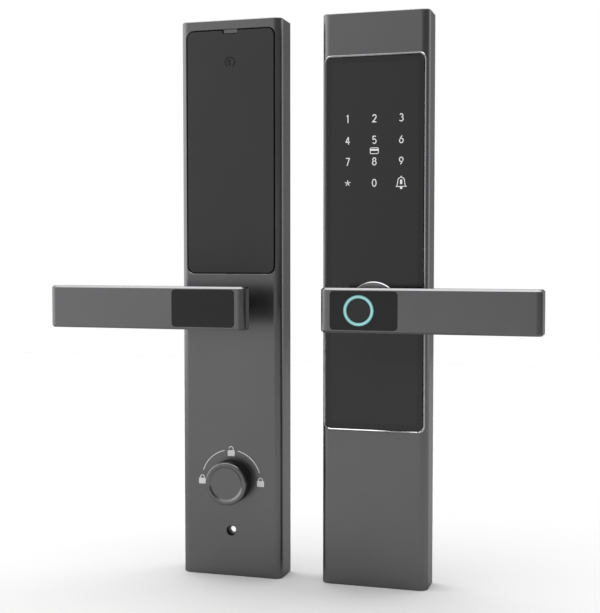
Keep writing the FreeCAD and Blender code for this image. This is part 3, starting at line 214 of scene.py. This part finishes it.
# ---- flat printed shapes --------------------------------------------------------------------
class Print:
    """One flat printed piece on a face that looks along -Y, built shape by shape."""

    def __init__(self, name, face_y):
        self.name = name
        self.face_y = face_y - PRINT_GAP
        self.mesh = bmesh.new()

    def _vertex(self, point, front):
        """Corner on the print's front or back."""
        depth = self.face_y - (PRINT_THICKNESS if front else 0)
        return self.mesh.verts.new((point[0], depth, point[1]))

    def strip(self, inner, outer, closed):
        """Ribbon between two lines with the same number of points."""
        front = [(self._vertex(a, True), self._vertex(b, True)) for a, b in zip(inner, outer)]
        back = [(self._vertex(a, False), self._vertex(b, False)) for a, b in zip(inner, outer)]
        count = len(front)
        for index in range(count if closed else count - 1):
            after = (index + 1) % count
            self.mesh.faces.new((front[index][0], front[after][0], front[after][1], front[index][1]))
            self.mesh.faces.new((back[index][0], back[index][1], back[after][1], back[after][0]))
            self.mesh.faces.new((front[index][0], back[index][0], back[after][0], front[after][0]))
            self.mesh.faces.new((front[index][1], front[after][1], back[after][1], back[index][1]))
        if not closed:
            for end in (0, count - 1):
                self.mesh.faces.new((front[end][0], front[end][1], back[end][1], back[end][0]))

    def stroke(self, points, width):
        """Line of even width; it closes if it ends where it starts."""
        closed = is_closed(points)
        offsets = joint_offsets(points, width)
        inner = [tuple(Vector(point) - offset) for point, offset in zip(points, offsets)]
        outer = [tuple(Vector(point) + offset) for point, offset in zip(points, offsets)]
        if closed:
            inner.pop()
            outer.pop()
        self.strip(inner, outer, closed)

    def fill(self, points):
        """Filled closed outline."""
        front = [self._vertex(point, True) for point in points]
        back = [self._vertex(point, False) for point in points]
        self.mesh.faces.new(front)
        self.mesh.faces.new(list(reversed(back)))
        count = len(points)
        for index in range(count):
            after = (index + 1) % count
            self.mesh.faces.new((front[index], back[index], back[after], front[after]))

    def digit(self, text, centre):
        """Digit centred on a point."""
        for stroke in DIGITS[text]:
            placed = [(centre[0] + DIGIT_HEIGHT * x, centre[1] + DIGIT_HEIGHT * y) for x, y in stroke]
            self.stroke(placed, DIGIT_STROKE)

    def padlock(self, centre, opened):
        """Padlock body with a closed or a raised shackle."""
        self.fill(rounded_rectangle(centre, LOCK_WIDTH, LOCK_HEIGHT, LOCK_CORNER))
        top = centre[1] + LOCK_HEIGHT / 2
        lift = SHACKLE_LEG if opened else SHACKLE_LEG / 2
        bow = arc((centre[0], top + lift), SHACKLE_RADIUS, 0, 180, SHACKLE_STEPS)
        line = [(bow[0][0], top)] + bow
        if not opened:
            line.append((bow[-1][0], top))
        self.stroke(line, SHACKLE_STROKE)

    def finish(self, material, body, slot):
        """Make the object, and let it ride on a body."""
        bmesh.ops.recalc_face_normals(self.mesh, faces=self.mesh.faces)
        data = bpy.data.meshes.new(self.name)
        self.mesh.to_mesh(data)
        self.mesh.free()
        data.materials.append(material)
        piece = bpy.data.objects.new(self.name, data)
        bpy.context.scene.collection.objects.link(piece)
        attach(piece, body)


def key_digits(material):
    """Digits 1 to 9 and 0."""
    made = Print("key_digits", GLASS_Y)
    for row, digits in enumerate(KEY_ROWS):
        for column, digit in enumerate(digits):
            if digit in DIGITS:
                made.digit(digit, (EXTERIOR_X + KEY_PITCH_X * (column - 1), KEY_TOP_Z - KEY_PITCH_Z * row))
    made.finish(material, "housings", "diffuser_white")


def star_icon(material):
    """Star key: short strokes from one point."""
    made = Print("star_icon", GLASS_Y)
    centre = (EXTERIOR_X - KEY_PITCH_X, KEY_BOTTOM_Z)
    for arm in range(STAR_ARMS):
        tip = on_circle(centre, STAR_HEIGHT / 2, 90 + 360 * arm / STAR_ARMS)
        made.stroke([centre, tip], STAR_STROKE)
    made.finish(material, "housings", "diffuser_white")


def card_icon(material):
    """Card-reader icon: a card with a broad stripe."""
    made = Print("card_icon", GLASS_Y)
    centre = (EXTERIOR_X, CARD_Z)
    outline = rounded_rectangle(centre, CARD_WIDTH - CARD_STROKE, CARD_HEIGHT - CARD_STROKE, CARD_CORNER)
    made.stroke(outline + outline[:1], CARD_STROKE)
    stripe = (EXTERIOR_X, CARD_Z + CARD_HEIGHT / 2 - CARD_STROKE - CARD_STRIPE)
    made.fill(rounded_rectangle(stripe, CARD_WIDTH - 2 * CARD_STROKE, CARD_STRIPE, CARD_STROKE / 4))
    made.finish(material, "housings", "diffuser_white")


def bell_icon(material):
    """Doorbell icon: bell outline, rim, knob and clapper, with a bar in the middle."""
    made = Print("bell_icon", GLASS_Y)
    x = EXTERIOR_X + KEY_PITCH_X
    half = BELL_WIDTH / 2
    rim_z = KEY_BOTTOM_Z - BELL_HEIGHT * BELL_RIM_DROP
    dome = half * BELL_DOME
    dome_z = rim_z + BELL_HEIGHT * BELL_DOME_RISE
    flare_z = rim_z + BELL_HEIGHT * BELL_FLARE_RISE
    left = [(x - half + BELL_STROKE, rim_z), (x - dome - BELL_STROKE / 2, flare_z)]
    right = [(2 * x - across, up) for across, up in reversed(left)]
    made.stroke(left + arc((x, dome_z), dome, 180, 0) + right, BELL_STROKE)
    made.stroke([(x - half, rim_z), (x + half, rim_z)], BELL_STROKE)
    clapper = BELL_HEIGHT * BELL_CLAPPER
    knob = [(x, dome_z + dome), (x, dome_z + dome + clapper)]
    made.stroke(knob, BELL_STROKE * BELL_KNOB_WIDTH)
    made.fill(dot((x, rim_z - clapper), clapper))
    bar = (x, rim_z + BELL_HEIGHT * BELL_BAR_RISE)
    bar_width = BELL_WIDTH * BELL_BAR_WIDTH
    made.fill(rounded_rectangle(bar, bar_width, BELL_HEIGHT * BELL_BAR_HEIGHT, BELL_STROKE / 2))
    made.finish(material, "housings", "diffuser_white")


def turn_scale(material):
    """Arcs and padlocks that show the thumb-turn's positions."""
    made = Print("turn_scale", INTERIOR_Y)
    centre = (INTERIOR_X, KNOB_Z)
    for start, end in (SCALE_LEFT, SCALE_RIGHT):
        made.stroke(arc(centre, SCALE_RADIUS, start, end), SCALE_STROKE)
    low = KNOB_Z - LOCK_HEIGHT / 4
    for side in (-1, 1):
        made.padlock((INTERIOR_X + side * LOCK_OFFSET, low), opened=False)
    made.padlock((INTERIOR_X, KNOB_Z + LOCK_OFFSET - LOCK_HEIGHT / 2), opened=True)
    made.finish(material, "housings", "diffuser_white")


def cover_mark(material):
    """Faint round mark on the battery cover."""
    made = Print("cover_mark", COVER_Y)
    centre = (INTERIOR_X, COVER_MARK_Z)
    made.stroke(arc(centre, COVER_MARK_RADIUS, *COVER_MARK_OUTER_ARC), COVER_MARK_STROKE)
    made.stroke(arc(centre, COVER_MARK_INNER_RADIUS, *COVER_MARK_INNER_ARC), COVER_MARK_STROKE)
    ends = [(INTERIOR_X, COVER_MARK_Z + up * COVER_MARK_INNER_RADIUS) for up in (-1, 1)]
    made.stroke(ends, COVER_MARK_STROKE)
    made.finish(material, "battery_cover", "cover_black")


# ---- materials ------------------------------------------------------------------------------
# A dyed oxide layer brightens less at grazing angles than bare metal does.
DYED_SHEEN = (0.6, 0.6, 0.6, 1.0)
GLASS_BORDER = 3.4 * MM
BORDER_BLUR = 0.6 * MM
# Share of the light ring's half width that is evenly bright, and how strongly the ring glows.
RING_CORE = 0.3
RING_GLOW = 0.5
# Noise between these two values is spread over the range that is asked for.
NOISE_LOW = 0.3
NOISE_HIGH = 0.7
# Agreement of a face's own direction with the rounded one, at a worn edge and beside it.
EDGE_WORN = 0.86
EDGE_PLAIN = 0.995
EDGE_SAMPLES = 4
# Sockets of a Mix node by number, because their names stand for numbers and colours alike.
MIX_FACTOR = 0
MIX_NUMBERS = (2, 3)
MIX_COLOURS = (6, 7)
MIX_COLOUR_RESULT = 2


def wired(tree, kind, inputs, **settings):
    """Add a node, set or link its inputs, and return it."""
    node = tree.nodes.new(kind)
    for name, value in settings.items():
        setattr(node, name, value)
    for socket, value in inputs.items():
        if isinstance(value, bpy.types.NodeSocket):
            tree.links.new(value, node.inputs[socket])
        else:
            node.inputs[socket].default_value = value
    return node


def maths(tree, operation, *values):
    """Result of one calculation; each value is a number or a socket."""
    return wired(tree, "ShaderNodeMath", dict(enumerate(values)), operation=operation).outputs[0]


def vector_maths(tree, operation, *values, result="Vector"):
    """Result of one calculation with vectors."""
    node = wired(tree, "ShaderNodeVectorMath", dict(enumerate(values)), operation=operation)
    return node.outputs[result]


def shade(colour, factor):
    """A colour made lighter or darker."""
    return tuple(channel * factor for channel in colour[:3]) + (1.0,)


class Finish:
    """One material, with short calls for the nodes it needs."""

    def __init__(self, name, colour, roughness, metallic=0.0):
        self.material = bpy.data.materials.new(name)
        self.material.use_nodes = True
        self.tree = self.material.node_tree
        self.shader = self.tree.nodes["Principled BSDF"]
        self.place = self.tree.nodes.new("ShaderNodeTexCoord").outputs["Object"]
        self.setting("Base Color", (*colour, 1.0))
        self.setting("Roughness", roughness)
        self.setting("Metallic", metallic)

    def setting(self, name, value):
        """Set one of the shader's own sockets."""
        self.shader.inputs[name].default_value = value

    def feed(self, name, socket):
        """Link one of the shader's own sockets."""
        self.tree.links.new(socket, self.shader.inputs[name])

    def noise(self, scale, detail=2.0, stretch=None):
        """Noise in object space; scale is in features per metre, stretched along an axis if asked."""
        place = self.place
        if stretch:
            place = wired(self.tree, "ShaderNodeMapping", {"Vector": place, "Scale": stretch}).outputs[0]
        inputs = {"Vector": place, "Scale": scale, "Detail": detail}
        return wired(self.tree, "ShaderNodeTexNoise", inputs).outputs["Fac"]

    def span(self, value, low, high, from_low=NOISE_LOW, from_high=NOISE_HIGH):
        """Map a value between two limits onto another range."""
        inputs = {"Value": value, "From Min": from_low, "From Max": from_high, "To Min": low, "To Max": high}
        return wired(self.tree, "ShaderNodeMapRange", inputs).outputs["Result"]

    def blend(self, factor, first, second):
        """Colour between two others; each is a colour or a socket."""
        inputs = {MIX_FACTOR: factor, MIX_COLOURS[0]: first, MIX_COLOURS[1]: second}
        return wired(self.tree, "ShaderNodeMix", inputs, data_type="RGBA").outputs[MIX_COLOUR_RESULT]

    def mottled(self, pattern, colour, darkest, lightest):
        """Colour that follows a pattern from a darker to a lighter shade."""
        return self.blend(self.span(pattern, 0.0, 1.0), shade(colour, darkest), shade(colour, lightest))

    def worn(self, body, radius, edge):
        """Colour that changes to another along sharp edges, but not on smoothly curved faces."""
        rounded = wired(self.tree, "ShaderNodeBevel", {"Radius": radius}, samples=EDGE_SAMPLES)
        own = self.tree.nodes.new("ShaderNodeNewGeometry").outputs["Normal"]
        agreement = vector_maths(self.tree, "DOT_PRODUCT", rounded.outputs["Normal"], own, result="Value")
        return self.blend(self.span(agreement, 1.0, 0.0, EDGE_WORN, EDGE_PLAIN), body, edge)

    def border(self, low, high):
        """1 near the outline of an upright box, 0 inside it."""
        axes = wired(self.tree, "ShaderNodeSeparateXYZ", {0: self.place})
        margins = []
        for axis in (0, 2):
            offset = maths(self.tree, "SUBTRACT", axes.outputs[axis], (low[axis] + high[axis]) / 2)
            reach = maths(self.tree, "ABSOLUTE", offset)
            margins.append(maths(self.tree, "SUBTRACT", (high[axis] - low[axis]) / 2, reach))
        nearest = maths(self.tree, "MINIMUM", *margins)
        return self.span(nearest, 1.0, 0.0, GLASS_BORDER, GLASS_BORDER + BORDER_BLUR)

    def polish(self, pattern, smoothest, roughest):
        """Roughness that follows a pattern."""
        self.feed("Roughness", self.span(pattern, smoothest, roughest))

    def bump(self, pattern, distance, strength):
        """Relief that follows a pattern."""
        inputs = {"Height": pattern, "Distance": distance, "Strength": strength}
        self.feed("Normal", wired(self.tree, "ShaderNodeBump", inputs).outputs["Normal"])

    def glow(self, colour, strength):
        """Light given off in a colour."""
        self.feed("Emission Color", colour)
        self.setting("Emission Strength", strength)


def satin_metal(name, colour, roughness, wear=1.5):
    """Bead-blasted, dyed and anodised metal: fine grain, faint cloudiness, lighter edges."""
    finish = Finish(name, colour, roughness, metallic=1.0)
    finish.setting("Specular Tint", DYED_SHEEN)
    cloud = finish.noise(scale=14.0, detail=3.0)
    grain = finish.noise(scale=5200.0, detail=1.0)
    body = finish.mottled(cloud, colour, darkest=0.95, lightest=1.05)
    body = finish.blend(finish.span(grain, low=0.0, high=0.16), body, shade(colour, factor=1.5))
    finish.feed("Base Color", finish.worn(body, radius=0.35 * MM, edge=shade(colour, wear)))
    finish.polish(cloud, smoothest=roughness - 0.02, roughest=roughness + 0.03)
    finish.bump(grain, distance=0.004 * MM, strength=0.35)
    return finish.material


def brushed_metal(name, colour, roughness, stretch):
    """Metal with fine parallel brush lines."""
    finish = Finish(name, colour, roughness, metallic=1.0)
    lines = finish.noise(scale=900.0, detail=3.0, stretch=stretch)
    body = finish.mottled(lines, colour, darkest=0.85, lightest=1.1)
    finish.feed("Base Color", finish.worn(body, radius=0.25 * MM, edge=shade(colour, factor=1.25)))
    finish.polish(lines, smoothest=roughness - 0.04, roughest=roughness + 0.08)
    finish.bump(lines, distance=0.005 * MM, strength=0.4)
    return finish.material


def polished_metal(name, colour, roughness):
    """Plated metal: clear reflections with slight haze and fine scratches."""
    finish = Finish(name, colour, roughness, metallic=1.0)
    haze = finish.noise(scale=40.0, detail=4.0)
    scratches = finish.noise(scale=1200.0, detail=1.0, stretch=(1.0, 1.0, 0.06))
    finish.feed("Base Color", finish.mottled(haze, colour, darkest=0.96, lightest=1.04))
    finish.polish(haze, smoothest=roughness, roughest=roughness + 0.05)
    finish.bump(scratches, distance=0.001 * MM, strength=0.3)
    return finish.material


def black_glass(name):
    """Dark-backed glass with a blacker border, sparse dust and a faint smear in its gloss."""
    middle = (0.006, 0.006, 0.0065, 1.0)
    border = (0.0009, 0.0009, 0.001, 1.0)
    dusty = (0.05, 0.05, 0.05, 1.0)
    finish = Finish(name, (0.0045, 0.0045, 0.005), 0.08)
    finish.setting("IOR", 1.52)
    finish.setting("Specular IOR Level", 0.42)
    panel = finish.blend(finish.border(GLASS_LOW, GLASS_HIGH), middle, border)
    dust = finish.noise(scale=1500.0, detail=1.0)
    specks = finish.span(dust, low=0.0, high=0.1, from_low=0.66, from_high=0.8)
    finish.feed("Base Color", finish.blend(specks, panel, dusty))
    smear = finish.noise(scale=22.0, detail=3.0, stretch=(1.0, 1.0, 0.5))
    finish.polish(smear, smoothest=0.06, roughest=0.13)
    return finish.material


def moulded_plastic(name, colour, roughness, grain_scale=2600.0, grain_depth=0.006 * MM, gloss=0.5):
    """Injection-moulded plastic with a fine spark-eroded texture."""
    finish = Finish(name, colour, roughness)
    finish.setting("Specular IOR Level", gloss)
    grain = finish.noise(scale=grain_scale)
    cloud = finish.noise(scale=25.0)
    body = finish.mottled(cloud, colour, darkest=0.92, lightest=1.08)
    finish.feed("Base Color", finish.worn(body, radius=0.2 * MM, edge=shade(colour, factor=1.6)))
    finish.polish(grain, smoothest=roughness - 0.05, roughest=roughness + 0.07)
    finish.bump(grain, distance=grain_depth, strength=0.5)
    return finish.material


def circuit_board(name):
    """Green solder mask over copper tracks."""
    colour = (0.012, 0.09, 0.04)
    finish = Finish(name, colour, 0.35)
    upright = {"Vector": finish.place, "Rotation": (math.radians(90), 0.0, 0.0)}
    tracks = wired(finish.tree, "ShaderNodeTexBrick", {
        "Vector": wired(finish.tree, "ShaderNodeMapping", upright).outputs["Vector"],
        "Color1": shade(colour, factor=1.0),
        "Color2": shade(colour, factor=1.25),
        "Mortar": shade(colour, factor=1.9),
        "Mortar Size": 0.05,
        "Scale": 320.0,
    })
    finish.feed("Base Color", tracks.outputs["Color"])
    finish.bump(tracks.outputs["Fac"], distance=0.03 * MM, strength=0.4)
    finish.polish(finish.noise(scale=300.0), smoothest=0.3, roughest=0.42)
    return finish.material


def off_ring_middle(finish, outer, inner):
    """Distance of a point from the circle midway between the light ring's two edges."""
    centre = (RING_LOW + RING_HIGH) / 2
    offset = vector_maths(finish.tree, "SUBTRACT", finish.place, (centre.x, 0.0, centre.z))
    level = vector_maths(finish.tree, "MULTIPLY", offset, (1.0, 0.0, 1.0))
    radius = vector_maths(finish.tree, "LENGTH", level, result="Value")
    return maths(finish.tree, "ABSOLUTE", maths(finish.tree, "SUBTRACT", radius, (inner + outer) / 2))


def light_ring(name):
    """Lit acrylic ring: bright along its middle, deeper in colour at its edges."""
    core = (0.2, 0.4, 0.39)
    edge = (0.02, 0.13, 0.14, 1.0)
    finish = Finish(name, core, 0.3)
    lit = finish.mottled(finish.noise(scale=120.0, detail=1.0), core, darkest=0.9, lightest=1.08)
    outer = (RING_HIGH.x - RING_LOW.x) / 2
    inner = (SENSOR_HIGH.x - SENSOR_LOW.x) / 2
    half = (outer - inner) / 2
    fading = finish.span(off_ring_middle(finish, outer, inner), 0.0, 1.0, RING_CORE * half, half)
    lit = finish.blend(fading, lit, edge)
    finish.feed("Base Color", lit)
    finish.glow(lit, RING_GLOW)
    return finish.material


def printed_ink(name, colour, glow=0.0, shine=0.5):
    """Screen-printed ink with slightly uneven cover."""
    finish = Finish(name, colour, 0.5)
    finish.setting("Specular IOR Level", shine)
    cover = finish.noise(scale=2500.0)
    ink = finish.mottled(cover, colour, darkest=0.93, lightest=1.04)
    finish.feed("Base Color", ink)
    finish.polish(cover, smoothest=0.42, roughest=0.58)
    if glow:
        finish.glow(ink, glow)
    return finish.material


def finishes():
    """Material of each of the record's slots."""
    grey = (0.118, 0.118, 0.121)
    return {
        "housing_metal": satin_metal("housing_metal", grey, 0.3),
        "lever_metal": satin_metal("lever_metal", grey, 0.28),
        "bezel_metal": polished_metal("bezel_metal", (0.33, 0.33, 0.34), 0.18),
        "collar_chrome": polished_metal("collar_chrome", (0.21, 0.21, 0.215), 0.14),
        "knob_metal": satin_metal("knob_metal", grey, 0.26, wear=1.9),
        "panel_glass": black_glass("panel_glass"),
        "cover_black": moulded_plastic("cover_black", (0.0115, 0.0115, 0.012), 0.42, gloss=0.42),
        "inlay_black": moulded_plastic("inlay_black", (0.005, 0.005, 0.0055), 0.3, gloss=0.3),
        "sensor_dark": moulded_plastic("sensor_dark", (0.012, 0.012, 0.013), 0.35, gloss=0.32),
        "ring_light": light_ring("ring_light"),
        "steel": brushed_metal("steel", (0.52, 0.52, 0.53), 0.32, stretch=(1.0, 1.0, 0.04)),
        "spring_steel": polished_metal("spring_steel", (0.56, 0.56, 0.57), 0.26),
        "brass": brushed_metal("brass", (0.75, 0.56, 0.25), 0.3, stretch=(1.0, 0.08, 1.0)),
        "seal_rubber": moulded_plastic("seal_rubber", (0.02, 0.02, 0.02), 0.8,
                                       grain_scale=1200.0, grain_depth=0.02 * MM),
        "board_green": circuit_board("board_green"),
        "chip_black": moulded_plastic("chip_black", (0.02, 0.02, 0.022), 0.5),
        "diffuser_white": moulded_plastic("diffuser_white", (0.78, 0.78, 0.76), 0.55),
        "tray_plastic": moulded_plastic("tray_plastic", (0.05, 0.05, 0.052), 0.5),
        "socket_plastic": moulded_plastic("socket_plastic", (0.72, 0.7, 0.64), 0.45),
        "copper": brushed_metal("copper", (0.8, 0.42, 0.28), 0.3, stretch=(1.0, 1.0, 0.2)),
        "cell_jacket": moulded_plastic("cell_jacket", (0.25, 0.27, 0.3), 0.25,
                                       grain_scale=600.0, grain_depth=0.002 * MM),
        "button_red": moulded_plastic("button_red", (0.55, 0.03, 0.025), 0.4),
    }


def dress_nodes(materials):
    """Give every CAD node the material of its slot."""
    slots = {part["node"]: part["material_slot"] for part in frame["record"]["subparts"]}
    for node, shown in frame["nodes"].items():
        shown.data.materials.clear()
        shown.data.materials.append(materials[slots[node]])


def prints():
    """All printed pieces."""
    key_ink = printed_ink("key_ink", (0.58, 0.58, 0.58), glow=0.3)
    scale_ink = printed_ink("scale_ink", (0.62, 0.62, 0.62))
    mark_ink = printed_ink("mark_ink", (0.003, 0.003, 0.003), shine=0.05)
    key_digits(key_ink)
    star_icon(key_ink)
    card_icon(key_ink)
    bell_icon(key_ink)
    turn_scale(scale_ink)
    cover_mark(mark_ink)


# ---- studio ---------------------------------------------------------------------------------
# Soft light round the object, as (azimuth, brightness); azimuth 0 is in front of it (-Y) and 90
# is +X. A broad panel stands at the left, and a narrower one behind the object at the right.
PANELS = [
    (-180, 0.8), (-112, 3.0), (-76, 3.0), (-38, 1.4), (-8, 0.85), (20, 0.3), (100, 0.3), (124, 2.2),
    (140, 2.2), (156, 0.5), (170, 0.5), (180, 0.8),
]
# Brightness that the ramp's white stands for.
RAMP_PEAK = 4.0
# Bright area overhead, and the upward parts of a direction at which it starts and is full.
OVERHEAD = 6.0
OVERHEAD_START = 0.78
OVERHEAD_FULL = 0.92
WHITE = (1.0, 1.0, 1.0, 1.0)
FLOOR_HALF_SIDE = 1.5
FLOOR_COLOUR = (0.385, 0.385, 0.385)
FLOOR_ROUGHNESS = 0.9


def by_azimuth(tree, direction, levels):
    """Brightness by direction round the vertical axis, blended between azimuths."""
    split = wired(tree, "ShaderNodeSeparateXYZ", {0: direction})
    towards = maths(tree, "MULTIPLY", split.outputs["Y"], -1.0)
    angle = maths(tree, "ARCTAN2", split.outputs["X"], towards)
    turn = maths(tree, "MULTIPLY_ADD", angle, 1 / math.tau, 0.5)
    ramp = wired(tree, "ShaderNodeValToRGB", {0: turn})
    stops = ramp.color_ramp.elements
    stops.remove(stops[-1])
    for azimuth, level in levels:
        place = azimuth / 360 + 0.5
        stop = stops.new(place) if azimuth > levels[0][0] else stops[0]
        stop.position = place
        stop.color = shade(WHITE, level / RAMP_PEAK)
    return maths(tree, "MULTIPLY", ramp.outputs[0], RAMP_PEAK)


def studio_world():
    """White backdrop for the camera; soft panels all round and overhead for the object."""
    world = bpy.data.worlds.new("studio")
    bpy.context.scene.world = world
    world.use_nodes = True
    tree = world.node_tree
    tree.nodes.clear()
    direction = tree.nodes.new("ShaderNodeTexCoord").outputs["Generated"]
    panels = by_azimuth(tree, direction, PANELS)
    height = wired(tree, "ShaderNodeSeparateXYZ", {0: direction}).outputs["Z"]
    limits = {"Value": height, "From Min": OVERHEAD_START, "From Max": OVERHEAD_FULL}
    above = wired(tree, "ShaderNodeMapRange", limits, interpolation_type="SMOOTHSTEP")
    levels = {MIX_FACTOR: above.outputs[0], MIX_NUMBERS[0]: panels, MIX_NUMBERS[1]: OVERHEAD}
    level = wired(tree, "ShaderNodeMix", levels, data_type="FLOAT")
    lit = wired(tree, "ShaderNodeBackground", {"Color": WHITE, "Strength": level.outputs[0]})
    seen = wired(tree, "ShaderNodeBackground", {"Color": WHITE, "Strength": 1.0})
    is_camera = tree.nodes.new("ShaderNodeLightPath").outputs["Is Camera Ray"]
    either = wired(tree, "ShaderNodeMixShader", {0: is_camera, 1: lit.outputs[0], 2: seen.outputs[0]})
    wired(tree, "ShaderNodeOutputWorld", {"Surface": either.outputs[0]})


def studio_floor():
    """Plain pale matt floor, a square centred under the lock."""
    mesh = bmesh.new()
    corners = [(-1, -1), (1, -1), (1, 1), (-1, 1)]
    mesh.faces.new([mesh.verts.new((FLOOR_HALF_SIDE * x, FLOOR_HALF_SIDE * y, 0.0)) for x, y in corners])
    data = bpy.data.meshes.new("floor")
    mesh.to_mesh(data)
    mesh.free()
    finish = Finish("floor", FLOOR_COLOUR, FLOOR_ROUGHNESS)
    finish.setting("Specular IOR Level", 0.0)
    data.materials.append(finish.material)
    floor = bpy.data.objects.new("floor", data)
    bpy.context.scene.collection.objects.link(floor)


def camera():
    """Camera at the viewing angle, aimed near the middle of the lock."""
    data = bpy.data.cameras.new("camera")
    data.lens = CAMERA_LENS
    data.sensor_width = CAMERA_SENSOR
    data.clip_start = CAMERA_NEAREST
    data.clip_end = CAMERA_FURTHEST
    placed = bpy.data.objects.new("camera", data)
    level = math.cos(CAMERA_ELEVATION)
    back = Vector((math.sin(CAMERA_AZIMUTH) * level, -math.cos(CAMERA_AZIMUTH) * level,
                   math.sin(CAMERA_ELEVATION)))
    placed.location = CAMERA_TARGET + back * CAMERA_DISTANCE
    placed.rotation_mode = "QUATERNION"
    placed.rotation_quaternion = (-back).to_track_quat("-Z", "Y")
    bpy.context.scene.collection.objects.link(placed)
    bpy.context.scene.camera = placed


bpy.context.scene.view_settings.view_transform = "Standard"
dress_nodes(finishes())
prints()
studio_world()
studio_floor()
camera()
